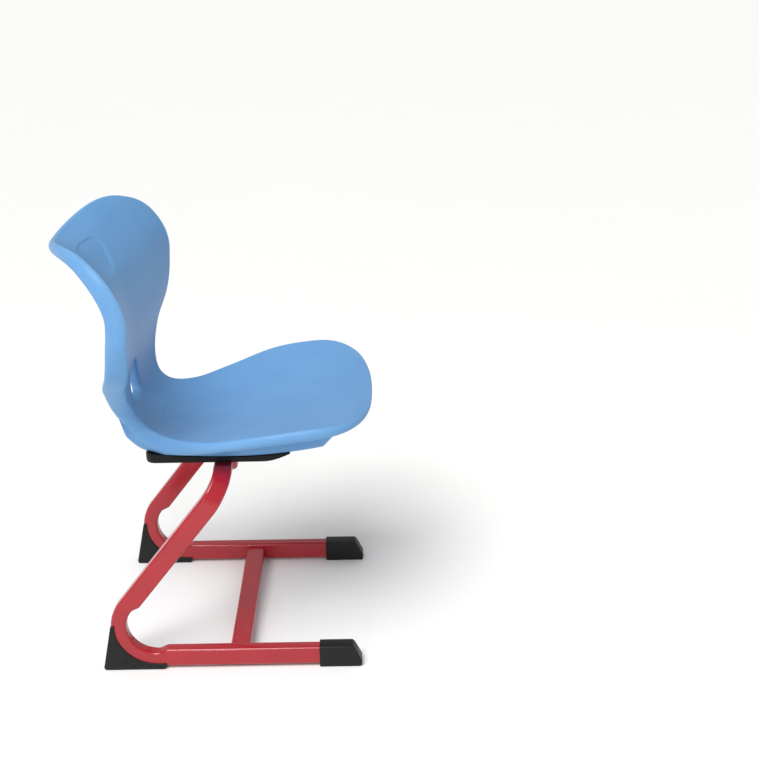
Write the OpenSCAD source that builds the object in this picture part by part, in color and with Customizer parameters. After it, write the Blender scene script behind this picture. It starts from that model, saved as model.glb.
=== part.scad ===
/* [Floor frame] */
// Length of the floor frame, from heel to toe
base_l = 446; // [400:1:520]
// Width of the floor frame over the feet
base_w = 391; // [350:1:440]
// Depth of the frame tube, seen from the side
tube_h = 33; // [26:0.5:40]
// Width of the frame tube, across the chair
tube_w = 22; // [16:0.5:24]
// Wall of the frame tube
tube_t = 2; // [1.5:0.1:3]
// Outside corner radius of the frame tube
tube_r = 4.5; // [3:0.5:7]
// Depth of the tube where it is squeezed in the heel bend
bend_h = 26.5; // [24:0.5:35]
// Depth of the tube where it is squeezed in the top bend
top_h = 31; // [25:0.5:35]
// Depth of the pressed cross run that carries the seat
run_h = 38; // [33:0.5:48]
// Height of the pressed cross run
run_w = 18; // [14:0.5:22]
// Centreline radius of the heel bend
heel_r = 60.5; // [48:1:76]
// Slope of the legs above the floor, in degrees
leg_slope = 52; // [46:0.1:60]
// Distance from the heel to the middle of the top cross run
leg_reach = 220; // [190:1:270]
// Centreline radius of the bend that turns the leg in under the seat
top_r = 52; // [40:1:60]
// Distance from the heel to the middle of the floor cross bar
bar_f = 235; // [180:1:320]
// Width of the floor cross bar, along the runners
bar_w = 34; // [28:1:44]
// Height of the floor cross bar
bar_h = 20; // [14:1:26]

/* [Feet] */
// Height of the runner's underside above the floor
sole_t = 5; // [4:0.5:9]
// Thickness of the side walls of the feet and caps
shoe_t = 2; // [1.8:0.1:4]
// Length of the rear foot on the floor
foot_l = 105; // [85:1:130]
// How far the rear foot's cheeks reach over the tube
cheek = 6.5; // [4:0.5:12]
// Length of the front cap
cap_l = 73; // [55:1:95]
// How far the front cap's nose leans back
cap_nose = 12; // [6:1:20]

/* [Seat carrier] */
// Height of the carrier's underside above the floor
carrier_z = 360; // [340:1:440]
// Width of the carrier
carrier_w = 244; // [220:1:300]
// Distance from the heel to the carrier's rear end
carrier_f = 88; // [78:1:100]
// Length of the carrier
carrier_l = 244; // [215:1:260]
// Thickness of the carrier at its thinnest
carrier_t = 9; // [7:0.5:14]
// Distance of the two bearing strips from the centre plane
strip_x = 92; // [70:1:105]
// Width of a bearing strip
strip_w = 30; // [24:1:36]
// Length of a bearing strip
strip_l = 150; // [130:1:170]
// Thickness of a bearing strip
strip_t = 4; // [3:0.5:5]

/* [Shell] */
// Depth of the seat, from the lumbar bend to the front edge
seat_d = 407; // [380:1:460]
// Width of the seat over the rim crests
seat_w = 406; // [370:1:450]
// Width of the waist between seat and back
waist_w = 228; // [215:1:270]
// Width of the backrest over the rim crests
back_w = 476; // [420:1:520]
// Height of the backrest above the waist
back_h = 280; // [240:1:330]
// Depth of the rolled rim at the seat
rim_seat = 19; // [16:0.5:24]
// Depth of the rolled rim at the waist
rim_waist = 37; // [30:0.5:44]
// Depth of the rolled rim at the top
rim_top = 24; // [20:0.5:30]
// How far the rim bulges out past its crest
rim_r = 7; // [5:0.5:10]
// Wall of both skins
skin_t = 3.5; // [2.5:0.1:4.5]
// Width of the moulded pan under the seat
pan_w = 250; // [230:1:300]
// Width of the hand hole at its foot
hole_w = 70; // [56:1:84]
// Height of the hand hole
hole_h = 65; // [50:1:72]

/* [Fixings] */
// Thread diameter of the seat bolts
bolt_d = 6; // [5:0.5:8]
// Head diameter of the seat bolts
bolt_head = 11; // [9:0.5:14]
// Diameter of the shell screws
screw_d = 4.5; // [3.5:0.5:6]
// Diameter of the pins that hold the feet and caps
pin_d = 5; // [4:0.5:7]
// Leg length of the weld beads
weld = 3; // [2:0.5:4]

/* [Hidden] */

// The parts are drawn with x forward from the heel, y to the sitter's left, z up.
// in_place() turns them to face -Y and centres the chair's box on the origin.
gap = 0.2;                                    // clearance between parts that slide together
thread_gap = 0.1;                             // clearance on the diameter of a thread or pin
side_y = base_w/2 - shoe_t - tube_w/2;        // middle of each side tube
runner_z = sole_t + tube_h/2;                 // middle of the runner
run_z = carrier_z - run_w/2;                  // middle of the top cross run
run_front = leg_reach - tube_h/2 + run_h;     // its front and rear faces
run_rear = leg_reach - tube_h/2;
run_f = (run_front + run_rear)/2;
toe_f = base_l - cap_nose - shoe_t - 1.5;     // where the runner ends, inside its cap

function mix(a, b, k) = a + (b - a)*k;
function unit(v) = v/norm(v);
function clamp(v, lo, hi) = min(max(v, lo), hi);
function ease(k) = let (c = clamp(k, 0, 1)) c*c*(3 - 2*c);
function sums(v, i = 0, s = 0) = i == len(v) ? [s] : concat([s], sums(v, i + 1, s + v[i]));

module in_place() {
    rotate([0, 0, -90]) translate([-mid_f, 0, 0]) children();
}
module left_right(y) {
    for (s = [-1, 1]) translate([0, s*y, 0]) children();
}

// ---- side tubes ----
// The top bend turns inwards while the leg steepens, ever faster, from its slope to upright.
top_steps = 10;
function top_dir(b) = let (f = mix(leg_slope, 90, pow(b/90, 2)))
    [cos(b)*cos(f), -sin(b), cos(b)*sin(f)];
top_arc = top_r*PI/2/top_steps;
top_moves = [for (i = [0:top_steps - 1]) top_dir(90*(i + 0.5)/top_steps)*top_arc];
top_x = sums([for (m = top_moves) m.x]);
top_y = sums([for (m = top_moves) m.y]);
top_z = sums([for (m = top_moves) m.z]);
leg_end = [leg_reach - top_x[top_steps], run_z - top_z[top_steps]];
heel_corner_f = leg_end.x - (leg_end.y - runner_z)/tan(leg_slope);
heel_tangent = heel_r*tan((180 - leg_slope)/2);
heel_mid = [heel_corner_f + heel_tangent, runner_z + heel_r];
heel_turn = 180 - leg_slope;
heel_steps = 16;
squeeze_l = 18;                               // length over which the tube narrows
flare_y = carrier_w/2 - 3;                    // the cross run widens again under the carrier's edge
flare_l = 10;
heel_end = heel_mid + heel_r*[-sin(leg_slope), cos(leg_slope)];

// A ring is [centre, axis along the tube's depth, axis along its width, depth, width].
function ring(p, dir, depth, width = tube_w) = let (
    side = unit([-dir.z, 0, dir.x]),
    flat_dir = abs(dir.x) + abs(dir.z) < 0.001 ? [-1, 0, 0] : side)
    [p + flat_dir*(tube_h - depth)/2, flat_dir, unit(cross(dir, flat_dir)), depth, width];
function squeeze(d) = mix(bend_h, tube_h, ease(d/squeeze_l));
side_rings = concat(
    [ring([toe_f, side_y, runner_z], [-1, 0, 0], tube_h)],
    [for (i = [3:-1:0]) ring([heel_mid.x + squeeze_l*i/3, side_y, runner_z], [-1, 0, 0],
        squeeze(squeeze_l*i/3))],
    [for (i = [1:heel_steps]) let (a = heel_turn*i/heel_steps)
        ring([heel_mid.x - heel_r*sin(a), side_y, heel_mid.y - heel_r*cos(a)],
            [-cos(a), 0, sin(a)], bend_h)],
    [for (i = [1:3]) let (d = squeeze_l*i/3)
        ring([heel_end.x + d*cos(leg_slope), side_y, heel_end.y + d*sin(leg_slope)],
            [cos(leg_slope), 0, sin(leg_slope)], squeeze(d))],
    [for (i = [0:top_steps]) let (k = i/top_steps)
        ring([leg_end.x + top_x[i], side_y + top_y[i], leg_end.y + top_z[i]], top_dir(90*k),
            mix(tube_h, top_h, ease(2*k)), mix(tube_w, run_w, k))],
    [for (k = [0, 0.5, 1]) ring([leg_reach, flare_y - flare_l*k, run_z], [0, -1, 0],
        mix(top_h, run_h, k), run_w)],
    [ring([leg_reach, gap/2, run_z], [0, -1, 0], run_h, run_w)]);

corner_steps = 3;
function section(h, w, r) = [for (c = [0:3], i = [0:corner_steps])
    let (a = 90*c + 90*i/corner_steps, sx = c == 0 || c == 3 ? 1 : -1, sy = c < 2 ? 1 : -1)
    [sx*(h/2 - r) + r*cos(a), sy*(w/2 - r) + r*sin(a)]];
function ring_points(g, t) = [for (q = section(g[3] - 2*t, g[4] - 2*t, tube_r - t))
    g[0] + g[1]*q.x + g[2]*q.y];
function skin_faces(rings, n, start, flip) = [for (i = [0:rings - 2], j = [0:n - 1])
    let (a = start + i*n + j, b = start + i*n + (j + 1)%n, c = b + n, d = a + n)
    each flip ? [[a, d, b], [b, d, c]] : [[a, b, d], [b, c, d]]];
module side_tube(solid = false) {
    n = 4*(corner_steps + 1);
    k = len(side_rings);
    outer = [for (g = side_rings) each ring_points(g, 0)];
    inner = [for (g = side_rings) each ring_points(g, tube_t)];
    if (solid)
        polyhedron(outer, concat(skin_faces(k, n, 0, true),
            [[for (j = [0:n - 1]) j], [for (j = [0:n - 1]) k*n - 1 - j]]), 4);
    else
        polyhedron(concat(outer, inner), concat(
            skin_faces(k, n, 0, true), skin_faces(k, n, k*n, false),
            [for (j = [0:n - 1]) let (m = (j + 1)%n) each
                [[j, m, k*n + j], [m, k*n + m, k*n + j],
                 [(k - 1)*n + j, (2*k - 1)*n + j, (k - 1)*n + m],
                 [(k - 1)*n + m, (2*k - 1)*n + j, (2*k - 1)*n + m]]]), 4);
}

// ---- shell ----
// Stations run up the centre line, from the front edge of the seat to the top of the back:
// [forward, height above the carrier, half width, forward curl of the rim, rim depth].
waist_f = 57;                                 // forward place of the lumbar bend
waist_up = 108;                               // its height above the carrier
half_seat = seat_w/2;
half_waist = waist_w/2;
half_back = back_w/2;
function seat_at(share, up, w, curl, rim) = [waist_f + seat_d*share, up,
    mix(half_waist, half_seat, w), curl, mix(rim_seat, rim_waist, rim)];
function back_at(f, share, w, curl, rim) = [f, waist_up + back_h*share,
    mix(half_waist, half_back, w), curl, mix(rim_waist, rim_top, rim)];
stations = [
    seat_at(1.00, 79, 0.98, 8, -0.30), seat_at(0.93, 81, 1.01, 13, -0.15),
    seat_at(0.80, 75, 1.00, 20, 0), seat_at(0.59, 63, 0.98, 20, 0),
    seat_at(0.38, 38, 0.65, 22, 0), seat_at(0.22, 32, 0.26, 18, 0.05),
    seat_at(0.10, 40, 0.03, 19, 0.25), seat_at(0.02, 67, 0.00, 22, 0.40),
    back_at(waist_f, 0, 0.15, 19, 0.20), back_at(64, 0.16, 0.50, 14, 0),
    back_at(66, 0.32, 0.87, 27, 0.00), back_at(58, 0.48, 1.00, 42, 0.12),
    back_at(41, 0.65, 0.92, 58, 0.40), back_at(-2, 0.82, 0.75, 64, 0.80),
    back_at(-45, 0.91, 0.57, 66, 1.00)];
curl_power = 1.65;                            // how late the dish turns up towards the rim
front_round = 106;                             // length over which the seat's corners round off
front_power = 2.6;
top_round = 95;                               // the same at the top of the back
top_power = 2.2;

function spline(t) = let (
    n = len(stations), i = clamp(floor(t), 0, n - 2), f = t - i,
    p1 = stations[i], p2 = stations[i + 1],
    p0 = i > 0 ? stations[i - 1] : 2*p1 - p2,
    p3 = i < n - 2 ? stations[i + 2] : 2*p2 - p1)
    0.5*(2*p1 + (p2 - p0)*f + (2*p0 - 5*p1 + 4*p2 - p3)*f*f + (3*p1 - p0 - 3*p2 + p3)*f*f*f);
fine = 6;                                     // samples per station for the length table
samples = [for (i = [0:fine*(len(stations) - 1)]) spline(i/fine)];
lengths = sums([for (i = [1:len(samples) - 1])
    norm([samples[i][0] - samples[i - 1][0], samples[i][1] - samples[i - 1][1]])]);
length_table = [for (i = [0:len(samples) - 1]) [lengths[i], i/fine]];
shell_l = lengths[len(samples) - 1];
function at_length(a) = spline(lookup(a, length_table));
function facing(a) = let (p = at_length(a + 2), q = at_length(a - 2),
    d = unit([p[0] - q[0], p[1] - q[1]])) [d.y, -d.x];
function half_width(a) = at_length(a)[2]
    *pow(1 - pow(max(0, 1 - a/front_round), front_power), 1/front_power)
    *pow(1 - pow(max(0, 1 - (shell_l - a)/top_round), top_power), 1/top_power);
core = 0.6;                                   // depth of the shell in the middle, against the rim
// A point of the shell, so far along, so far to the side and so deep behind the face
function shell_point(a, y, share, extra) = let (
    s = at_length(a), n = facing(a), out = abs(y)/s[2],
    c = s[3]*pow(out, curl_power) - share*s[4]*mix(core, 1, min(1, out*out)) - extra)
    [s[0] + n.x*c, y, carrier_z + s[1] + n.y*c];

cols = 44;                                    // columns from the front centre to the top centre
edge_a = [for (j = [0:cols]) shell_l*(1 - cos(180*j/cols))/2];
edge_y = [for (a = edge_a) a <= 0 || a >= shell_l ? 0 : half_width(a)];
spine_lo = 9;                                 // the spine stops short of both ends
spine_hi = cols - 9;
edge = [for (j = [0:cols]) shell_point(edge_a[j], edge_y[j], 0, 0)];
edge_out = [for (j = [0:cols]) let (
    f = facing(edge_a[j]),
    along = j == 0 ? [0, 1, 0] : j == cols ? [0, -1, 0] : edge[j + 1] - edge[j - 1])
    unit(cross(along, [f.x, 0, f.y]))];
// A row is [share of the way to the rim, share of the rim depth, extra depth, bulge].
function row_points(w) = [for (j = [0:cols]) let (k = clamp(j, spine_lo, spine_hi))
    shell_point(mix(edge_a[k], edge_a[j], w[0]), edge_y[j]*w[0], w[1], w[2]) + edge_out[j]*w[3]];
dish = [0, 0.22, 0.43, 0.62, 0.78, 0.91];
function face_rows(share, extra) = [for (f = dish) [f, share, extra, 0]];
function roll_rows(t) = [for (p = [0:30:180]) [1, (1 - cos(p))/2, t*cos(p), (rim_r - t)*sin(p)]];
function reversed(v) = [for (i = [len(v) - 1:-1:0]) v[i]];
// Closed skin from rows that start and end on the spine
module shell_rows(rows) {
    m = len(rows);
    loop = 2*cols;
    pts = [for (w = rows) let (h = row_points(w)) each
        concat(h, [for (j = [cols - 1:-1:1]) [h[j].x, -h[j].y, h[j].z]])];
    function at(i, j) = let (q = j%loop, h = q <= cols ? q : loop - q)
        i == 0 || i == m - 1 ? i*loop + clamp(h, spine_lo, spine_hi) : i*loop + q;
    polyhedron(pts, [for (i = [0:m - 2], j = [0:loop - 1])
        let (a = at(i, j), b = at(i, j + 1), c = at(i + 1, j + 1), d = at(i + 1, j))
        each [if (a != b) [a, b, c], if (c != d) [a, c, d]]], 4);
}
module shell_volume() {
    shell_rows(concat(face_rows(0, 0), roll_rows(0), reversed(face_rows(1, 0))));
}
outline_rows = concat(roll_rows(0), face_rows(1, 0));
outline_points = [for (w = outline_rows) each row_points(w)];
front_f = max(base_l, max([for (p = outline_points) p.x]));
back_f = min(0, min([for (p = outline_points) p.x]));
mid_f = (front_f + back_f)/2;

// ---- pan under the seat ----
pan_rear = carrier_f + 6;                     // where the pan's rounded rear end starts
pan_mid = carrier_f + 149;                    // where the pan hangs lowest
pan_front = pan_mid + 151;
rear_sag = 2500;                              // how flat the pan's long curve is behind and ahead
front_sag = 1500;
nose_rise = 1.1;                              // slope of the pan's front end
pan_r = 7;                                    // rounding of the pan's long edges
rear_l = 57;                                  // length and height of the pan's rounded rear end
rear_h = 120;
function pan_z(f) = carrier_z + carrier_t + nose_rise*max(0, f - pan_front)
    + pow(min(f, pan_front) - pan_mid, 2)/(f < pan_mid ? rear_sag : front_sag);
rising_seat = [for (i = [6*fine + 3:-1:0]) [samples[i][0], lengths[i]]];
function length_at(f) = lookup(f, rising_seat);
rear_a = length_at(pan_rear);
rear_top_a = rear_a + 140;
// The pan's underside in side view, and the rounding towards its long edges
function pan_path(a) = a < rear_a
    ? let (f = at_length(a)[0]) [f, pan_z(f)]
    : let (t = 90*pow((a - rear_a)/(rear_top_a - rear_a), 0.8))
        [pan_rear - rear_l*sin(t), pan_z(pan_rear) + rear_h*(1 - cos(t))];
function edge_lift(s, half) = let (k = max(0, (abs(s) - 1)*half/pan_r + 1))
    pan_r*(1 - sqrt(1 - k*k));
pan_steps = 34;
pan_shares = [-1, -0.985, -0.96, -0.93, -0.7, 0, 0.7, 0.93, 0.96, 0.985, 1];
module pan_solid(inset, extra) {
    a0 = length_at(pan_front + 34) + inset;
    a1 = rear_top_a - inset;
    w = len(pan_shares);
    pairs = [for (i = [0:pan_steps]) let (a = mix(a0, a1, i/pan_steps),
        half = min(pan_w/2, half_width(a) + rim_r/2) - inset, n = facing(a), q = pan_path(a))
        for (s = pan_shares) let (p = shell_point(a, half*s, 1, extra),
            b = q + n*(inset + edge_lift(s, half)), d = ([p.x, p.z] - b)*n,
            c = d > 0.5 ? b : [p.x, p.z] - n*0.5)
            [p, [c.x, p.y, c.y]]];
    pts = concat([for (v = pairs) v[0]], [for (v = pairs) v[1]]);
    m = len(pairs);
    polyhedron(pts, concat(
        [for (i = [0:pan_steps - 1], j = [0:w - 2])
            let (a = i*w + j, b = a + 1, c = b + w, d = a + w)
            each [[a, d, b], [b, d, c], [m + a, m + b, m + d], [m + b, m + c, m + d]]],
        [for (i = [0:pan_steps - 1]) let (a = i*w, b = a + w, c = a + w - 1, d = c + w)
            each [[a, m + a, b], [b, m + a, m + b], [c, d, m + c], [d, m + d, m + c]]],
        [for (j = [0:w - 2])
            let (a = j, b = j + 1, c = pan_steps*w + j, d = c + 1)
            each [[a, b, m + a], [b, m + b, m + a], [c, m + c, d], [d, m + c, m + d]]]), 4);
}

// ---- hand hole, a flat-footed arch low in the back ----
hole_z = carrier_z + 70;
hole_r = 10;
hole_top_r = 0.59*hole_w;                     // radius of the arch
module hole_outline(grow) {
    offset(grow) offset(hole_r) offset(-hole_r) intersection() {
        translate([-hole_w/2, 0]) square([hole_w, hole_h]);
        translate([0, hole_h - hole_top_r]) circle(hole_top_r, $fn = 48);
    }
}
module hole_prism(grow) {
    translate([waist_f - 60, 0, hole_z]) rotate([90, 0, 90])
        linear_extrude(140) hole_outline(grow);
}

// ---- fixings between shell, carrier and strips ----
bolt_f = [carrier_f + 67, carrier_f + 181];
screw_f = [carrier_f + 93, carrier_f + 167];
screw_y = 45;
insert_l = 7;
insert_d = bolt_d + 3;
boss_d = insert_d + 6;
washer_d = bolt_head + 5;
washer_t = 1.6;
head_t = 4;
seat_low = min([for (s = stations) s[1]]);    // lowest place of the seat above the carrier
boss_top = seat_low - skin_t - 3;             // bosses end just below the front skin
insert_z = carrier_z + boss_top - 3 - insert_l;
module at_bolts() {
    for (f = bolt_f, s = [-1, 1]) translate([f, s*strip_x, 0]) children();
}
module at_screws() {
    for (f = screw_f, s = [-1, 1]) translate([f, s*screw_y, 0]) children();
}

module shell_front() {
    color("#6ca4d8") in_place() {
        difference() {
            shell_rows(concat(face_rows(0, 0), roll_rows(0), reversed(roll_rows(skin_t)),
                reversed(face_rows(0, skin_t))));
            hole_prism(0);
        }
        intersection() {
            shell_volume();
            difference() {
                hole_prism(skin_t);
                hole_prism(0);
            }
        }
    }
}
module boss_pins() {
    at_bolts() translate([0, 0, carrier_z]) cylinder(h = boss_top, d = boss_d);
    at_screws() translate([0, 0, carrier_z]) cylinder(h = boss_top, d = screw_d + 7);
}
module shell_back() {
    color("#5f96ca") in_place() difference() {
        union() {
            difference() {
                union() {
                    shell_rows(concat(face_rows(1, -skin_t), [[1, 1, -skin_t, 0], [1, 1, 0, 0]],
                        reversed(face_rows(1, 0))));
                    pan_solid(0, -skin_t/2);
                }
                pan_solid(skin_t, 1);
            }
            intersection() {
                boss_pins();
                pan_solid(0, -skin_t - 2);
            }
        }
        hole_prism(skin_t);
        at_bolts() translate([0, 0, carrier_z]) cylinder(h = boss_top - 3, d = insert_d);
        at_screws() translate([0, 0, carrier_z]) cylinder(h = boss_top - 3, d = screw_d);
    }
}

// ---- carrier and bearing strips ----
carrier_r = 6;
nose_l = 46;                                  // length of the carrier's tapered nose
nose_t = 1.5;                                 // thickness of the nose at its tip
module carrier_profile() {
    end_f = carrier_f + carrier_l;
    tip_z = pan_z(end_f) - gap - nose_t;
    rear_mid = [carrier_f + carrier_r, carrier_z + carrier_r];
    lift = pan_z(carrier_f) - gap - carrier_z - 2*carrier_r;
    top_f = [for (i = [0:20]) carrier_f + carrier_l*i/20];
    turn = [for (i = [0:6]) 15*i];
    polygon(concat(
        [for (t = turn) rear_mid + [-carrier_r*cos(t), lift + carrier_r*sin(t)]],
        [for (f = top_f) if (f > rear_mid.x) [f, pan_z(f) - gap]],
        [[end_f, tip_z]],
        [for (k = [0.2:0.2:1]) [end_f - nose_l*k, mix(tip_z, carrier_z, sin(90*k))]],
        [for (t = turn) rear_mid - carrier_r*[sin(t), cos(t)]]));
}
carrier_corner = 18;                          // rounding of the rear corners, seen from above
module carrier_plan() {
    half = carrier_w/2;
    front = carrier_f + carrier_l;
    left_right(half - carrier_corner) translate([carrier_f + carrier_corner, 0])
        circle(carrier_corner);
    translate([carrier_f, carrier_corner - half]) square([carrier_l, carrier_w - 2*carrier_corner]);
    translate([carrier_f + carrier_corner, -half]) square([carrier_l - carrier_corner, carrier_w]);
}
module seat_carrier() {
    color("#28292b") in_place() difference() {
        intersection() {
            translate([0, carrier_w/2, 0]) rotate([90, 0, 0])
                linear_extrude(carrier_w) carrier_profile();
            translate([0, 0, carrier_z - 1]) linear_extrude(60) carrier_plan();
        }
        for (s = [-1, 1]) translate([strip_f - gap, s*strip_x - strip_w/2 - gap, carrier_z - 1])
            cube([strip_l + 2*gap, strip_w + 2*gap, strip_t + gap + 1]);
        at_bolts() translate([0, 0, carrier_z - 1]) cylinder(h = 40, d = bolt_d + 2*gap);
        at_screws() translate([0, 0, carrier_z - 1]) cylinder(h = 40, d = screw_d + 2*gap);
        at_screws() translate([0, 0, carrier_z - 1]) cylinder(h = 1 + head_t, d = 2*screw_d + 2*gap);
    }
}
strip_f = (bolt_f[0] + bolt_f[1])/2 - strip_l/2;
module bearing_strip(side) {
    color("#a81c2b") in_place() difference() {
        translate([strip_f, side*strip_x - strip_w/2, carrier_z]) cube([strip_l, strip_w, strip_t]);
        at_bolts() translate([0, 0, carrier_z - 1]) cylinder(h = 20, d = bolt_d + 2*gap);
    }
}
// Section of a bead that fills the run's rounded edge under a strip
module strip_bead() {
    difference() {
        polygon([[-tube_r, 0], [weld, 0], [0, -tube_r], [-tube_r, -tube_r]]);
        translate([-tube_r, -tube_r]) circle(tube_r);
    }
}
module strip_welds() {
    l = strip_w - 6;
    color("#9a1826") in_place() left_right(strip_x) {
        translate([run_front, l/2, carrier_z]) rotate([90, 0, 0]) linear_extrude(l) strip_bead();
        translate([run_rear, -l/2, carrier_z]) rotate([90, 0, 180]) linear_extrude(l) strip_bead();
    }
}

// ---- tubes, bar and their joints ----
module rounded_bar(l, h, w, r) {
    rotate([90, 0, 0]) translate([0, 0, -l/2]) linear_extrude(l) {
        square([h - 2*r, w], center = true);
        square([h, w - 2*r], center = true);
        for (x = [-1, 1], z = [-1, 1]) translate([x*(h/2 - r), z*(w/2 - r)]) circle(r, $fn = 32);
    }
}
module pinned_tube() {
    difference() {
        side_tube();
        for (f = [foot_pin_f, cap_pin_f]) translate([f, side_y, sole_t - 1])
            cylinder(h = tube_t + 2, d = pin_d);
    }
}
module side_tube_left() {
    color("#b3202f") in_place() pinned_tube();
}
module side_tube_right() {
    color("#b3202f") in_place() mirror([0, 1, 0]) pinned_tube();
}
sleeve_l = 90;
sleeve_wall = 2;
module run_bar(l, grow) {
    translate([run_f, 0, run_z]) rounded_bar(l, run_h + grow, run_w + grow, tube_r + grow/2);
}
module tube_sleeve() {
    grow = -2*tube_t - gap;
    color("#8b8f94") in_place() difference() {
        run_bar(sleeve_l, grow);
        run_bar(sleeve_l + 2, grow - 2*sleeve_wall);
    }
}
module sleeve_weld() {
    color("#9a1826") in_place() difference() {
        run_bar(2*weld, 2);
        run_bar(2*weld + 2, 0);
        translate([run_rear - 5, -weld - 1, carrier_z]) cube([run_h + 10, 2*weld + 2, 5]);
    }
}
bar_l = 2*(side_y - tube_w/2);
bar_r = 4;                                    // outside corner radius of the cross bar
module bar_box(l, grow) {
    translate([bar_f, 0, runner_z]) rounded_bar(l, bar_w + grow, bar_h + grow, bar_r + grow/2);
}
module floor_cross_bar() {
    color("#b3202f") in_place() difference() {
        bar_box(bar_l, 0);
        bar_box(bar_l + 2, -2*tube_t);
    }
}
module cross_bar_welds() {
    color("#9a1826") in_place() left_right(bar_l/2 - weld/2) difference() {
        bar_box(weld, weld);
        bar_box(weld + 2, 0);
    }
}

// ---- feet ----
shoe_w = tube_w + 2*shoe_t;
pin_head = 2*pin_d;
pin_behind = 4;                               // the pin stands at most this far behind the heel centre
pin_inset = 14;                               // distance of the pin from the foot's front end
foot_front = max(foot_l, heel_mid.x - pin_behind + pin_inset);
foot_pin_f = foot_front - pin_inset;
cap_pin_f = base_l - cap_l + 16;
foot_lean = 17;                               // how far the heel's back leans forward at its top
foot_top = runner_z + heel_r + 6;
module shoe_plate() {
    translate([0, shoe_w/2, 0]) rotate([90, 0, 0]) linear_extrude(shoe_w) children();
}
pin_sink = 2;                                 // how far the pin heads sit above the floor
pin_head_t = 2;
module pin_hole() {
    translate([0, 0, -1]) cylinder(h = 1 + pin_sink + pin_head_t, d = pin_head + 2*gap);
    cylinder(h = sole_t + 1, d = pin_d);
}
module rear_foot(s) {
    r = heel_r + tube_h/2 - cheek;
    color("#2a2b2d") in_place() difference() {
        translate([0, s*side_y, 0]) shoe_plate() difference() {
            polygon([[3, 0], [foot_front, 0], [foot_front + 4, sole_t + 4], [foot_front + 4, sole_t + 6],
                [heel_mid.x, foot_top], [foot_lean + 3, foot_top], [foot_lean, foot_top - 5], [0, 4]]);
            translate(heel_mid) circle(r);
            translate([heel_mid.x, heel_mid.y - r]) square([foot_front, 2*r]);
        }
        mirror([0, s < 0 ? 1 : 0, 0]) side_tube(solid = true);
        translate([foot_pin_f, s*side_y, 0]) pin_hole();
        translate([38, s*(base_w/2 - 1), 15]) rotate([-90*s, 0, 0]) cylinder(h = 2, d = 4);
    }
}
module rear_foot_left() { rear_foot(1); }
module rear_foot_right() { rear_foot(-1); }
module front_cap(s) {
    top = sole_t + tube_h + shoe_t;
    color("#2a2b2d") in_place() difference() {
        translate([0, s*side_y, 0]) shoe_plate() polygon([[base_l - cap_l, 0], [base_l - 2, 0],
            [base_l, 3], [base_l, 12], [base_l - cap_nose, top - 4], [base_l - cap_nose - 4, top],
            [base_l - cap_l, top]]);
        mirror([0, s < 0 ? 1 : 0, 0]) side_tube(solid = true);
        translate([cap_pin_f, s*side_y, 0]) pin_hole();
    }
}
module front_cap_left() { front_cap(1); }
module front_cap_right() { front_cap(-1); }
module drive_pin(f) {
    translate([f, 0, pin_sink]) cylinder(h = pin_head_t, d = pin_head);
    translate([f, 0, pin_sink]) cylinder(h = sole_t + tube_t - pin_sink + 1, d = pin_d - thread_gap);
}
module foot_pins() {
    color("#1d1d1f") in_place() left_right(side_y) drive_pin(foot_pin_f);
}
module cap_pins() {
    color("#1d1d1f") in_place() left_right(side_y) drive_pin(cap_pin_f);
}

// ---- fixings ----
module seat_bolts() {
    color("#c2c5c9") in_place() at_bolts() {
        translate([0, 0, carrier_z - washer_t - head_t]) difference() {
            cylinder(h = head_t, d = bolt_head);
            translate([0, 0, -1]) cylinder(h = 1 + head_t/2, d = bolt_d*0.75, $fn = 6);
        }
        translate([0, 0, carrier_z - washer_t - 1])
            cylinder(h = washer_t + boss_top - 3, d = bolt_d - thread_gap);
    }
}
module seat_washers() {
    color("#aeb2b6") in_place() at_bolts() translate([0, 0, carrier_z - washer_t]) difference() {
        cylinder(h = washer_t, d = washer_d);
        translate([0, 0, -1]) cylinder(h = 4, d = bolt_d + 2*gap);
    }
}
module shell_inserts() {
    color("#b99a4b") in_place() at_bolts() translate([0, 0, insert_z]) difference() {
        cylinder(h = insert_l, d = insert_d);
        translate([0, 0, -1]) cylinder(h = insert_l + 2, d = bolt_d);
    }
}
module shell_screws() {
    color("#c2c5c9") in_place() at_screws() {
        translate([0, 0, carrier_z + 0.5]) cylinder(h = head_t - 0.5, d = 2*screw_d);
        translate([0, 0, carrier_z + 1]) cylinder(h = boss_top - 5, d = screw_d - thread_gap);
    }
}

shell_front();
shell_back();
seat_carrier();
side_tube_left();
side_tube_right();
tube_sleeve();
floor_cross_bar();
bearing_strip(1);  // bearing_strip_left
bearing_strip(-1);  // bearing_strip_right
rear_foot_left();
rear_foot_right();
front_cap_left();
front_cap_right();
foot_pins();
cap_pins();
cross_bar_welds();
strip_welds();
sleeve_weld();
seat_bolts();
seat_washers();
shell_inserts();
shell_screws();
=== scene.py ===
# Student desk chair: double-walled plastic shell on a cantilever frame of flat-sided tube.
import math

import bmesh
import bpy
import numpy as np
from mathutils import Matrix, Vector


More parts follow.
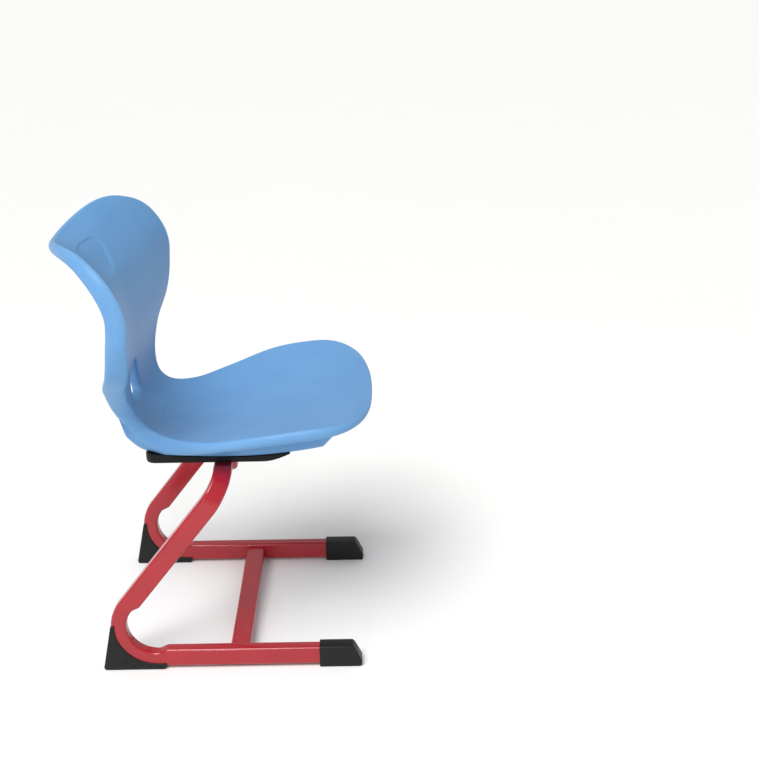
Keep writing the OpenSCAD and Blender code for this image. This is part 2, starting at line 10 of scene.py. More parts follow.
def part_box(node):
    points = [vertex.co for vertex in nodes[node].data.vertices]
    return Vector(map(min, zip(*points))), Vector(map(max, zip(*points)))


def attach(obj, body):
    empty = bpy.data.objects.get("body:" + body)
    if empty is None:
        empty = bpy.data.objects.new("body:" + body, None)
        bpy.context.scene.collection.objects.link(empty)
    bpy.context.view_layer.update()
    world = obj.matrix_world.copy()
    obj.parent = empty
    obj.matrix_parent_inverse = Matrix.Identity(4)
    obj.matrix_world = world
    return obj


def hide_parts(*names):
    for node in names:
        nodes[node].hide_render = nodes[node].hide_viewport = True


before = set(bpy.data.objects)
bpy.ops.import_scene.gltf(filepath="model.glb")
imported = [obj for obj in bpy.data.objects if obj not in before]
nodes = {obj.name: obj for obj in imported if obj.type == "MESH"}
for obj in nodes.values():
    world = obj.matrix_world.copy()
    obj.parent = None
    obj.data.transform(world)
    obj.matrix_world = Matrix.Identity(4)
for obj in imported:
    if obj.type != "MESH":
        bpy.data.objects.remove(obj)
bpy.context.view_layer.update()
bodyName = "root"
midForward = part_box("rear_foot_left")[1].y * 1000
print("frame loaded, chair centre", round(midForward, 2), "mm ahead of the heel")


# ---------- small helpers ----------
# Lengths below are in millimetres, forward from the heel, to the sitter's left and up.
def place(forward, side, up):
    return np.stack([np.asarray(side, float) + 0 * np.asarray(forward),
                     midForward - np.asarray(forward, float) + 0 * np.asarray(side),
                     np.asarray(up, float) + 0 * np.asarray(side)], -1) / 1000


def mix(a, b, k):
    return a + (b - a) * k


def ease(k):
    k = np.clip(k, 0, 1)
    return k * k * (3 - 2 * k)


def meshObject(name, points, faces, merge=0.0):
    mesh = bpy.data.meshes.new(name)
    mesh.from_pydata([tuple(p) for p in points], [], faces)
    bm = bmesh.new()
    bm.from_mesh(mesh)
    if merge:
        bmesh.ops.remove_doubles(bm, verts=bm.verts, dist=merge)
        bmesh.ops.dissolve_degenerate(bm, edges=bm.edges, dist=merge / 2)
    bmesh.ops.recalc_face_normals(bm, faces=bm.faces)
    bm.to_mesh(mesh)
    bm.free()
    piece = bpy.data.objects.new(name, mesh)
    bpy.context.scene.collection.objects.link(piece)
    return piece


def smooth(piece, angle=40):
    piece.data.shade_smooth()
    piece.data.set_sharp_from_angle(angle=math.radians(angle))


def loft(rings, closedEnds=True):
    count, width = len(rings), len(rings[0])
    points = [p for ring in rings for p in ring]
    faces = []
    for i in range(count - 1):
        for j in range(width):
            k = (j + 1) % width
            faces.append((i * width + j, i * width + k, (i + 1) * width + k, (i + 1) * width + j))
    if closedEnds:
        faces.append(tuple(range(width)))
        faces.append(tuple((count - 1) * width + j for j in reversed(range(width))))
    return points, faces


def cut(piece, cutter):
    modifier = piece.modifiers.new("cut", "BOOLEAN")
    modifier.operation = "DIFFERENCE"
    modifier.solver = "EXACT"
    modifier.object = cutter
    depsgraph = bpy.context.evaluated_depsgraph_get()
    mesh = bpy.data.meshes.new_from_object(piece.evaluated_get(depsgraph))
    piece.modifiers.clear()
    piece.data = mesh
    bpy.data.objects.remove(cutter)


# ---------- materials ----------
def linear(hexColour):
    channels = [int(hexColour[i:i + 2], 16) / 255 for i in (1, 3, 5)]
    return tuple(c / 12.92 if c <= 0.04045 else ((c + 0.055) / 1.055) ** 2.4 for c in channels) + (1,)


def addNode(tree, kind, settings=None, sockets=None):
    node = tree.nodes.new("ShaderNode" + kind)
    for name, value in (settings or {}).items():
        setattr(node, name, value)
    for name, value in (sockets or {}).items():
        if isinstance(value, bpy.types.NodeSocket):
            tree.links.new(value, node.inputs[name])
        else:
            node.inputs[name].default_value = value
    return node


def newMaterial(name, shader):
    material = bpy.data.materials.new(name)
    material.use_nodes = True
    tree = material.node_tree
    tree.nodes.clear()
    surface = addNode(tree, "BsdfPrincipled", None, shader)
    addNode(tree, "OutputMaterial", None, {"Surface": surface.outputs[0]})
    coords = addNode(tree, "TexCoord").outputs["Object"]
    return material, tree, surface, coords


def perMetre(sizeMm):
    return 1000 / sizeMm


def blendColours(tree, factor, first, second):
    return addNode(tree, "Mix", {"data_type": "RGBA"}, {0: factor, 6: first, 7: second}).outputs[2]


def spread(tree, value, low, high, fromLow=0.0, fromHigh=1.0):
    node = addNode(tree, "MapRange", None, {"Value": value, "From Min": fromLow, "From Max": fromHigh,
                                            "To Min": low, "To Max": high})
    return node.outputs[0]


# Polypropylene, moulded in a spark-eroded tool: even colour in the mass, a soft satin sheen
# that is a little glossier where clothes and hands polish the rim. Convex edges and the rim are
# painted paler: a painted highlight, partly edge wear.
def mouldedPolypropylene(look):
    material, tree, surface, coords = newMaterial(look["name"], {"IOR": 1.49,
                                                                 "Specular IOR Level": look["specular"]})
    flow = addNode(tree, "TexNoise", None, {"Vector": coords, "Scale": perMetre(look["flowMm"]),
                                            "Detail": 3.0, "Roughness": 0.5})
    grain = addNode(tree, "TexNoise", None, {"Vector": coords, "Scale": perMetre(look["grainMm"]),
                                             "Detail": 4.0, "Roughness": 0.6})
    pits = addNode(tree, "TexVoronoi", {"feature": "SMOOTH_F1"},
                   {"Vector": coords, "Scale": perMetre(look["pitMm"])})
    edge = spread(tree, addNode(tree, "NewGeometry").outputs["Pointiness"], 0, 1,
                  look["edgeFrom"], look["edgeTo"])
    shade = blendColours(tree, spread(tree, flow.outputs["Fac"], 0, 1, 0.35, 0.65),
                         linear(look["deep"]), linear(look["colour"]))
    shade = blendColours(tree, spread(tree, grain.outputs["Fac"], 0, look["speckle"], 0.45, 0.75),
                         shade, linear(look["wearAndHighlight"]))
    # Painted highlight: convex edges and the rim blend toward the pale colour, partly edge wear
    wearAndHighlight = addNode(tree, "Math", {"operation": "MULTIPLY"}, {0: edge, 1: look["edgeHighlightAndWear"]})
    shade = blendColours(tree, wearAndHighlight.outputs[0], shade, linear(look["wearAndHighlight"]))
    tree.links.new(shade, surface.inputs["Base Color"])
    gloss = spread(tree, grain.outputs["Fac"], look["rough"] - 0.05, look["rough"] + 0.07, 0.3, 0.7)
    gloss = addNode(tree, "Math", {"operation": "SUBTRACT"},
                    {0: gloss, 1: spread(tree, edge, 0, look["polish"])}).outputs[0]
    tree.links.new(gloss, surface.inputs["Roughness"])
    height = addNode(tree, "Math", {"operation": "ADD"}, {0: pits.outputs["Distance"],
                                                          1: grain.outputs["Fac"]})
    bump = addNode(tree, "Bump", None, {"Height": height.outputs[0], "Strength": look["bump"],
                                        "Distance": look["bumpMm"] / 1000})
    tree.links.new(bump.outputs[0], surface.inputs["Normal"])
    return material


# Polyester powder coat, baked on: glossy, with the slight orange peel of cured powder,
# and thinned to a darker tone where edges get knocked.
def powderCoat(look):
    material, tree, surface, coords = newMaterial(look["name"], {"IOR": 1.5, "Coat Weight": look["coat"],
                                                                 "Coat Roughness": 0.08})
    cloud = addNode(tree, "TexNoise", None, {"Vector": coords, "Scale": perMetre(look["cloudMm"]),
                                             "Detail": 3.0})
    peel = addNode(tree, "TexNoise", None, {"Vector": coords, "Scale": perMetre(look["peelMm"]),
                                            "Detail": 2.0, "Roughness": 0.4})
    scuff = addNode(tree, "TexNoise", None, {"Vector": coords, "Scale": perMetre(look["scuffMm"]),
                                             "Detail": 8.0, "Roughness": 0.7})
    edge = spread(tree, addNode(tree, "NewGeometry").outputs["Pointiness"], 0, 1, 0.52, 0.60)
    shade = blendColours(tree, spread(tree, cloud.outputs["Fac"], 0, 1, 0.35, 0.65),
                         linear(look["deep"]), linear(look["colour"]))
    knocks = addNode(tree, "Math", {"operation": "MULTIPLY"},
                     {0: edge, 1: spread(tree, scuff.outputs["Fac"], 0, 1, 0.58, 0.78)})
    shade = blendColours(tree, knocks.outputs[0], shade, linear(look["wearAndHighlight"]))
    tree.links.new(shade, surface.inputs["Base Color"])
    tree.links.new(spread(tree, scuff.outputs["Fac"], look["rough"] - 0.02, look["rough"] + 0.03, 0.3, 0.7),
                   surface.inputs["Roughness"])
    bump = addNode(tree, "Bump", None, {"Height": peel.outputs["Fac"], "Strength": look["bump"],
                                        "Distance": look["bumpMm"] / 1000})
    tree.links.new(bump.outputs[0], surface.inputs["Normal"])
    return material


# Glass-filled polypropylene and soft polypropylene: near-black, matt, with a fine pebble
# grain, and grey scuffs where it meets the floor.
def blackPlastic(look):
    material, tree, surface, coords = newMaterial(look["name"], {"IOR": 1.49,
                                                                 "Specular IOR Level": look["specular"]})
    pebble = addNode(tree, "TexVoronoi", {"feature": "SMOOTH_F1"},
                     {"Vector": coords, "Scale": perMetre(look["pebbleMm"])})
    dust = addNode(tree, "TexNoise", None, {"Vector": coords, "Scale": perMetre(look["dustMm"]),
                                            "Detail": 8.0, "Roughness": 0.65})
    height = addNode(tree, "SeparateXYZ", None, {0: coords}).outputs["Z"]
    low = spread(tree, height, 1, 0, 0, look["scuffUpMm"] / 1000)
    rub = addNode(tree, "Math", {"operation": "MULTIPLY"},
                  {0: low, 1: spread(tree, dust.outputs["Fac"], 0, 1, 0.48, 0.7)})
    shade = blendColours(tree, spread(tree, dust.outputs["Fac"], 0, 1, 0.4, 0.7),
                         linear(look["colour"]), linear(look["pale"]))
    shade = blendColours(tree, rub.outputs[0], shade, linear(look["scuff"]))
    tree.links.new(shade, surface.inputs["Base Color"])
    tree.links.new(spread(tree, dust.outputs["Fac"], look["rough"] - 0.06, look["rough"] + 0.1, 0.3, 0.7),
                   surface.inputs["Roughness"])
    bump = addNode(tree, "Bump", None, {"Height": pebble.outputs["Distance"], "Strength": look["bump"],
                                        "Distance": look["bumpMm"] / 1000})
    tree.links.new(bump.outputs[0], surface.inputs["Normal"])
    return material


# Zinc-plated or bare metal: the tone shifts a little from crystal to crystal, with fine
# turning marks.
def metalFinish(look):
    material, tree, surface, coords = newMaterial(look["name"], {"Metallic": 1.0})
    crystal = addNode(tree, "TexVoronoi", None, {"Vector": coords, "Scale": perMetre(look["crystalMm"])})
    marks = addNode(tree, "TexNoise", None, {
        "Vector": addNode(tree, "Mapping", None, {"Vector": coords, "Scale": look["stretch"]}).outputs[0],
        "Scale": perMetre(look["markMm"]), "Detail": 5.0})
    tone = addNode(tree, "SeparateColor", None, {0: crystal.outputs["Color"]}).outputs[0]
    shade = blendColours(tree, tone, linear(look["colour"]), linear(look["deep"]))
    tree.links.new(shade, surface.inputs["Base Color"])
    tree.links.new(spread(tree, marks.outputs["Fac"], look["rough"] - 0.08, look["rough"] + 0.12, 0.3, 0.7),
                   surface.inputs["Roughness"])
    bump = addNode(tree, "Bump", None, {"Height": marks.outputs["Fac"], "Strength": 0.25,
                                        "Distance": 0.00005})
    tree.links.new(bump.outputs[0], surface.inputs["Normal"])
    return material


finishes = {
    "shellBlue": mouldedPolypropylene({
        "name": "spark-eroded sky blue polypropylene", "colour": "#6699ca", "deep": "#6194c6",
        "wearAndHighlight": "#93c3ec", "flowMm": 90, "grainMm": 1.6, "pitMm": 1.2, "speckle": 0.06, "edgeHighlightAndWear": 0.5,
        "edgeFrom": 0.505, "edgeTo": 0.56, "rough": 0.42, "polish": 0.12, "bump": 0.12, "bumpMm": 0.12,
        "specular": 0.28}),
    "frameRed": powderCoat({
        "name": "ruby red gloss powder coat", "colour": "#a91323", "deep": "#a11121", "wearAndHighlight": "#7c1420",
        "cloudMm": 60, "peelMm": 2.4, "scuffMm": 9, "rough": 0.24, "coat": 0.35, "bump": 0.08,
        "bumpMm": 0.04}),
    "weldRed": powderCoat({
        "name": "ruby red powder coat over weld", "colour": "#a91728", "deep": "#941322",
        "wearAndHighlight": "#6b101a", "cloudMm": 8, "peelMm": 1.6, "scuffMm": 4, "rough": 0.3, "coat": 0.3,
        "bump": 0.5, "bumpMm": 0.2}),
    "footBlack": blackPlastic({
        "name": "black soft polypropylene", "colour": "#0b0b0c", "pale": "#111112", "scuff": "#2a2a2a",
        "pebbleMm": 1.1, "dustMm": 12, "scuffUpMm": 7, "rough": 0.46, "bump": 0.25, "bumpMm": 0.15,
        "specular": 0.35}),
    "carrierBlack": blackPlastic({
        "name": "black glass-filled polypropylene", "colour": "#08080a", "pale": "#0c0c0e",
        "scuff": "#0c0c0e", "pebbleMm": 1.4, "dustMm": 25, "scuffUpMm": 1, "rough": 0.5, "bump": 0.3,
        "bumpMm": 0.15, "specular": 0.25}),
    "zincSteel": metalFinish({
        "name": "bright zinc-plated steel", "colour": "#c3c7cb", "deep": "#a9aeb4", "crystalMm": 1.5,
        "markMm": 1.2, "stretch": (1, 1, 6), "rough": 0.32}),
    "bareSteel": metalFinish({
        "name": "cold-drawn bare steel", "colour": "#8e9196", "deep": "#777a7f", "crystalMm": 4,
        "markMm": 1.5, "stretch": (0.1, 1, 1), "rough": 0.4}),
    "brass": metalFinish({
        "name": "turned brass", "colour": "#c9a45a", "deep": "#b18c45", "crystalMm": 2,
        "markMm": 0.8, "stretch": (1, 1, 8), "rough": 0.3}),
}


def finish(piece, look):
    piece.data.materials.clear()
    piece.data.materials.append(finishes[look])


print("materials ready:", len(finishes))

# ---------- shell ----------
# Stations up the centre line: forward, height over the carrier, half width, forward curl of
# the rim, depth of the rim.
shell = {
    "carrierUp": 360, "waistForward": 57, "waistUp": 108, "seatDepth": 407, "seatWidth": 406,
    "waistWidth": 228, "backWidth": 476, "backHeight": 280, "rimSeat": 19, "rimWaist": 37,
    "rimTop": 24, "rimBulge": 7, "curlPower": 1.65, "core": 0.6, "frontRound": 106,
    "frontPower": 2.6, "topRound": 95, "topPower": 2.2,
    "lipRise": 0.5, "lipWidth": 6, "lipRear": 110, "lipFade": 60, "crowding": 0.35,
    "seat": [(1.00, 79, 0.98, 8, -0.30), (0.93, 81, 1.01, 13, -0.15), (0.80, 75, 1.00, 20, 0),
             (0.59, 63, 0.98, 20, 0), (0.38, 38, 0.65, 22, 0), (0.22, 32, 0.26, 18, 0.50),
             (0.10, 40, 0.03, 19, 0.66), (0.02, 67, 0.00, 22, 0.44)],
    "back": [(57, 0.00, 0.15, 19, 0.20), (64, 0.16, 0.50, 14, 0), (66, 0.32, 0.87, 27, 0),
             (58, 0.48, 1.00, 42, 0.12), (41, 0.65, 0.92, 58, 0.40), (-2, 0.82, 0.75, 64, 0.80),
             (-45, 0.91, 0.57, 66, 1.00)],
    "columns": 620, "faceRows": 150, "rollRows": 20, "backRows": (13, 15, 25), "samples": 6,
}


def stationTable(look):
    halfSeat, halfWaist, halfBack = look["seatWidth"] / 2, look["waistWidth"] / 2, look["backWidth"] / 2
    rows = [(look["waistForward"] + look["seatDepth"] * share, up, mix(halfWaist, halfSeat, w), curl,
             mix(look["rimSeat"], look["rimWaist"], rim)) for share, up, w, curl, rim in look["seat"]]
    rows += [(f, look["waistUp"] + look["backHeight"] * share, mix(halfWaist, halfBack, w), curl,
              mix(look["rimWaist"], look["rimTop"], rim)) for f, share, w, curl, rim in look["back"]]
    return np.array(rows, float)


stations = stationTable(shell)


def alongStations(t):
    t = np.asarray(t, float)
    last = len(stations) - 1
    i = np.clip(np.floor(t).astype(int), 0, last - 1)
    f = (t - i)[..., None]
    p1, p2 = stations[i], stations[i + 1]
    p0 = np.where((i > 0)[..., None], stations[np.maximum(i - 1, 0)], 2 * p1 - p2)
    p3 = np.where((i < last - 1)[..., None], stations[np.minimum(i + 2, last)], 2 * p2 - p1)
    return 0.5 * (2 * p1 + (p2 - p0) * f + (2 * p0 - 5 * p1 + 4 * p2 - p3) * f ** 2
                  + (3 * p1 - p0 - 3 * p2 + p3) * f ** 3)


sampleAt = np.arange(0, shell["samples"] * (len(stations) - 1) + 1) / shell["samples"]
samples = alongStations(sampleAt)
sampleLength = np.concatenate([[0], np.cumsum(np.hypot(*np.diff(samples[:, :2], axis=0).T))])
shellLength = sampleLength[-1]


def atLength(a):
    return alongStations(np.interp(a, sampleLength, sampleAt))


def facing(a):
    step = atLength(np.asarray(a) + 2)[..., :2] - atLength(np.asarray(a) - 2)[..., :2]
    step /= np.linalg.norm(step, axis=-1, keepdims=True)
    return np.stack([step[..., 1], -step[..., 0]], -1)


def halfWidth(a):
    front = 1 - np.maximum(0, 1 - a / shell["frontRound"]) ** shell["frontPower"]
    top = 1 - np.maximum(0, 1 - (shellLength - a) / shell["topRound"]) ** shell["topPower"]
    return (atLength(a)[..., 2] * np.maximum(front, 0) ** (1 / shell["frontPower"])
            * np.maximum(top, 0) ** (1 / shell["topPower"]))


# A point of the shell in the chair's own frame: forward, side, up
def shellPoint(a, side, share, extra=0.0):
    s, n = atLength(a), facing(a)
    out = np.abs(side) / s[..., 2]
    depth = share * s[..., 4] * mix(shell["core"], 1, np.minimum(1, out * out))
    c = s[..., 3] * out ** shell["curlPower"] - depth - extra
    return np.stack([s[..., 0] + n[..., 0] * c, side + 0 * c,
                     shell["carrierUp"] + s[..., 1] + n[..., 1] * c], -1)


# The pan that hangs under the seat and turns up behind the waist
pan = {
    "width": 250, "rear": 94, "mid": 237, "front": 388, "rearSag": 2500, "frontSag": 1500,
    "noseRise": 1.1, "carrierThick": 9, "rearLength": 57, "rearHeight": 120, "turnLength": 140,
    "turnPower": 0.8, "endForward": 40, "wallOut": 1, "wallIn": 8, "wallPower": 2.4,
    "widestShare": 0.985, "topShare": 0.992, "footShare": 0.5, "leastDrop": 0.2, "dropFade": 6,
}


def panUnder(f):
    ahead = np.minimum(f, pan["front"]) - pan["mid"]
    sag = np.where(f < pan["mid"], pan["rearSag"], pan["frontSag"])
    return (shell["carrierUp"] + pan["carrierThick"] + pan["noseRise"] * np.maximum(0, f - pan["front"])
            + ahead ** 2 / sag)


# The seat runs backwards up to the waist, so its samples are turned round to look lengths up
seatSamples = 40
risingForward = samples[seatSamples - 1::-1, 0]
risingLength = sampleLength[seatSamples - 1::-1]


def lengthAt(f):
    return np.interp(f, risingForward, risingLength)


rearLength = lengthAt(pan["rear"])


def panPath(a):
    turn = np.radians(90 * np.clip((a - rearLength) / pan["turnLength"], 0, 1) ** pan["turnPower"])
    behind = np.stack([pan["rear"] - pan["rearLength"] * np.sin(turn),
                       panUnder(pan["rear"]) + pan["rearHeight"] * (1 - np.cos(turn))], -1)
    f = atLength(a)[..., 0]
    under = np.stack([f, panUnder(f)], -1)
    return np.where((a < rearLength)[..., None], under, behind)


def panHalf(a):
    return np.minimum(pan["width"] / 2, halfWidth(a) + shell["rimBulge"] / 2)


# The hand hole: an arch with a flat foot and rounded lips
hole = {"width": 70, "height": 65, "foot": 430, "corner": 10, "archShare": 0.59, "lip": 5,
        "softening": 6, "searchFrom": 110, "searchLength": 260, "searchSteps": 500,
        "lipTurns": (78, 66, 54, 42, 30, 18, 8, 0), "flareMore": 5, "skinClear": 1.1,
        "frontClear": 15, "rearClear": 25}

# Shallow steps moulded into the sitting face: an arched panel in the back, a curved one in the seat
panelBack = {"topUp": 706, "footUp": 648, "halfTop": 66, "depth": 2.4, "soft": 2.4, "shoulder": 26,
             "narrowing": 0.62, "fadeFrom": 0.02, "fadeOver": 0.35, "startShare": 0.6}
panelSeat = {"rearForward": 103, "roundness": 540, "depth": 1.5, "soft": 2.6, "halfSide": 122,
             "sideFade": 30, "frontLength": 70, "frontFade": 60, "endShare": 0.55}


def backPanelDepth(side, up):
    k = np.clip((up - panelBack["footUp"]) / (panelBack["topUp"] - panelBack["footUp"]), 0, 1)
    half = panelBack["halfTop"] * k ** panelBack["narrowing"]
    toSide, toTop = half - np.abs(side), panelBack["topUp"] - up
    blend = np.clip(0.5 + (toTop - toSide) / 2 / panelBack["shoulder"], 0, 1)
    inside = mix(toTop, toSide, blend) - panelBack["shoulder"] * blend * (1 - blend)
    step = ease(inside / panelBack["soft"] + 0.5)
    return panelBack["depth"] * step * ease((k - panelBack["fadeFrom"]) / panelBack["fadeOver"])


def seatPanelDepth(forward, side):
    edge = panelSeat["rearForward"] + side ** 2 / panelSeat["roundness"]
    step = ease((forward - edge) / panelSeat["soft"] + 0.5)
    sideFade = ease((panelSeat["halfSide"] - np.abs(side)) / panelSeat["sideFade"])
    frontFade = ease((edge + panelSeat["frontLength"] - forward) / panelSeat["frontFade"])
    return panelSeat["depth"] * step * (sideFade * frontFade)


def shellRings(look):
    a = shellLength * (1 - np.cos(np.pi * np.arange(look["columns"] + 1) / look["columns"])) / 2
    a[0], a[-1] = 0, shellLength
    half = halfWidth(a)
    half[0] = half[-1] = 0
    edge = shellPoint(a, half, 0)
    along = np.zeros_like(edge)
    along[1:-1] = edge[2:] - edge[:-2]
    along[0], along[-1] = (0, 1, 0), (0, -1, 0)
    n = facing(a)
    out = np.cross(along, np.stack([n[:, 0], 0 * a, n[:, 1]], -1))
    out /= np.linalg.norm(out, axis=1, keepdims=True)

    # the sitting face, from the sitter's right to the left, with rows crowding towards the rim
    even = np.linspace(-1, 1, look["faceRows"])
    rowAt = mix(even, np.sin(np.pi / 2 * even), look["crowding"])
    faceAt = np.repeat(a[:, None], len(rowAt), 1)
    side = half[:, None] * rowAt[None, :]
    flat = shellPoint(faceAt, side, 0)
    inset = backPanelDepth(side, flat[..., 2]) * (faceAt > shellLength * panelBack["startShare"])
    inset = inset + seatPanelDepth(flat[..., 0], side) * (faceAt < shellLength * panelSeat["endShare"])
    face = shellPoint(faceAt, side, 0, inset)

    # the rolled rim: half a turn from the face round to the back
    p = np.linspace(0, np.pi, look["rollRows"])[1:]
    share = (1 - np.cos(p)) / 2
    rollAt = np.repeat(a[:, None], len(p), 1)
    bulge = out[:, None, :] * (look["rimBulge"] * np.sin(p))[None, :, None]
    right = shellPoint(rollAt, np.repeat(half[:, None], len(p), 1), share[None, :]) + bulge
    left = right * np.array([1, -1, 1])

    # the back: rows crowd where the pan's side wall stands
    outer, wall, inner = (np.linspace(1, 0, count + 1)[1:] for count in look["backRows"])
    tight = np.minimum(panHalf(a), half * pan["widestShare"])
    wallTop = np.minimum(tight + pan["wallOut"], half * pan["topShare"])
    wallFoot = np.maximum(tight - pan["wallIn"], half * pan["footShare"])
    rows = [wallTop + (half - wallTop) * k for k in outer]
    rows += [wallFoot + (wallTop - wallFoot) * k for k in wall]
    rows += [wallFoot * k for k in inner]
    backSide = np.stack(rows, 1)
    backAt = np.repeat(a[:, None], backSide.shape[1], 1)
    lip = look["lipRise"] * ease((half[:, None] - backSide) / look["lipWidth"])
    lip = lip * ease((lengthAt(look["lipRear"]) - backAt) / look["lipFade"])
    skin = shellPoint(backAt, backSide, 1 - lip)
    under = np.repeat(panPath(a)[:, None, :], backSide.shape[1], 1)
    normal = facing(backAt)
    drop = ((skin[..., 0] - under[..., 0]) * normal[..., 0]
            + (skin[..., 2] - under[..., 1]) * normal[..., 1])
    wallWidth = np.maximum(wallTop - wallFoot, 0.01)[:, None]
    inWall = np.clip((wallTop[:, None] - backSide) / wallWidth, 0, 1)
    inPan = (1 - (1 - inWall) ** pan["wallPower"]) ** (1 / pan["wallPower"])
    near = backAt < max(lengthAt(pan["endForward"]), rearLength + pan["turnLength"])
    k = inPan * ease((drop - pan["leastDrop"]) / pan["dropFade"]) * near
    back = skin.copy()
    back[..., 0] += (under[..., 0] - skin[..., 0]) * k
    back[..., 2] += (under[..., 1] - skin[..., 2]) * k
    mirrored = back[:, ::-1][:, 1:] * np.array([1, -1, 1])
    return np.concatenate([face, right, back, mirrored, left[:, ::-1][:, 1:]], 1)


def buildShell(look):
    rings = shellRings(look)
    rings = place(rings[..., 0], rings[..., 1], rings[..., 2])
    return meshObject("doubleWallShell", *loft(rings, closedEnds=False), merge=0.00002)


def holeOutline(grow):
    top = hole["archShare"] * hole["width"]
    mid = hole["height"] - top
    halfSide = hole["width"] / 2
    shoulder = math.asin(math.sqrt(1 - (halfSide / top) ** 2))
    arc = np.linspace(shoulder, math.pi - shoulder, 40)
    corner = np.radians(np.linspace(0, 90, 8))
    r = hole["corner"]
    pts = [(top * math.cos(t), mid + top * math.sin(t)) for t in arc]
    pts += [(-halfSide, y) for y in np.linspace(mid + top * math.sin(shoulder), r, 14)[1:-1]]
    pts += [(r - halfSide - r * math.cos(t), r - r * math.sin(t)) for t in corner]
    pts += [(x, 0) for x in np.linspace(r - halfSide, halfSide - r, 20)[1:-1]]
    pts += [(halfSide - r + r * math.sin(t), r - r * math.cos(t)) for t in corner]
    pts += [(halfSide, y) for y in np.linspace(r, mid + top * math.sin(shoulder), 14)[1:-1]]
    pts = np.array(pts)
    for _ in range(hole["softening"]):
        pts = (np.roll(pts, 1, 0) + 2 * pts + np.roll(pts, -1, 0)) / 4
    tangent = np.roll(pts, -1, 0) - np.roll(pts, 1, 0)
    tangent /= np.linalg.norm(tangent, axis=1, keepdims=True)
    return pts + grow * np.stack([tangent[:, 1], -tangent[:, 0]], 1) + np.array([0, hole["foot"]])


# How far forward the face (share 0) or the back (share 1) lies at a side and a height
def forwardAt(side, up, share):
    low = lengthAt(hole["searchFrom"])
    a = np.linspace(low, low + hole["searchLength"], hole["searchSteps"])
    found = []
    for y, z in zip(side, up):
        line = shellPoint(a, np.full_like(a, y), share)
        found.append(np.interp(z, line[:, 2], line[:, 0]))
    return np.array(found)


def cutHandHole(piece):
    r = hole["lip"]
    turn = np.radians(hole["lipTurns"])

    def ring(grow, share, depth):
        line = holeOutline(grow)
        forward = forwardAt(line[:, 0], line[:, 1], share)
        return place(forward - depth if share == 0 else forward + depth, line[:, 0], line[:, 1])

    flare = r * (1 - math.cos(turn[0])) + hole["flareMore"]
    rings = [ring(flare, 0, -hole["frontClear"]), ring(flare, 0, -hole["skinClear"])]
    rings += [ring(r * (1 - math.cos(t)), 0, r * (1 - math.sin(t))) for t in turn]
    rings += [ring(r * (1 - math.cos(t)), 1, r * (1 - math.sin(t))) for t in turn[::-1]]
    rings += [ring(flare, 1, -hole["skinClear"]), ring(flare, 1, -hole["rearClear"])]
    cutter = meshObject("holeCutter", *loft(rings))
    cut(piece, cutter)


seatShell = buildShell(shell)
print("shell mesh:", len(seatShell.data.polygons), "faces")
cutHandHole(seatShell)
smooth(seatShell, 50)
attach(seatShell, bodyName)
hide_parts("shell_front", "shell_back")
finish(seatShell, "shellBlue")
print("shell done:", len(seatShell.data.polygons), "faces")

# ---------- frame tubes ----------
tube = {
    "depth": 33, "width": 22, "corner": 4.5, "bendDepth": 26.5, "topDepth": 31, "runDepth": 38,
    "runWidth": 18, "heelRadius": 60.5, "slope": 52, "reach": 220, "topRadius": 52,
    "baseWidth": 391, "baseLength": 446, "sole": 5, "shoeWall": 2, "capNose": 12, "carrierUp": 360,
    "squeeze": 18, "flareFrom": 119, "flareLength": 10, "cornerSteps": 7, "topSteps": 40,
    "capEnd": 1.5, "gap": 0.1,
}
tubeSide = tube["baseWidth"] / 2 - tube["shoeWall"] - tube["width"] / 2
runnerUp = tube["sole"] + tube["depth"] / 2
runUp = tube["carrierUp"] - tube["runWidth"] / 2


def topDirection(b):
    slope = math.radians(mix(tube["slope"], 90, (b / 90) ** 2))
    t = math.radians(b)
    return np.array([math.cos(t) * math.cos(slope), -math.sin(t), math.cos(t) * math.sin(slope)])


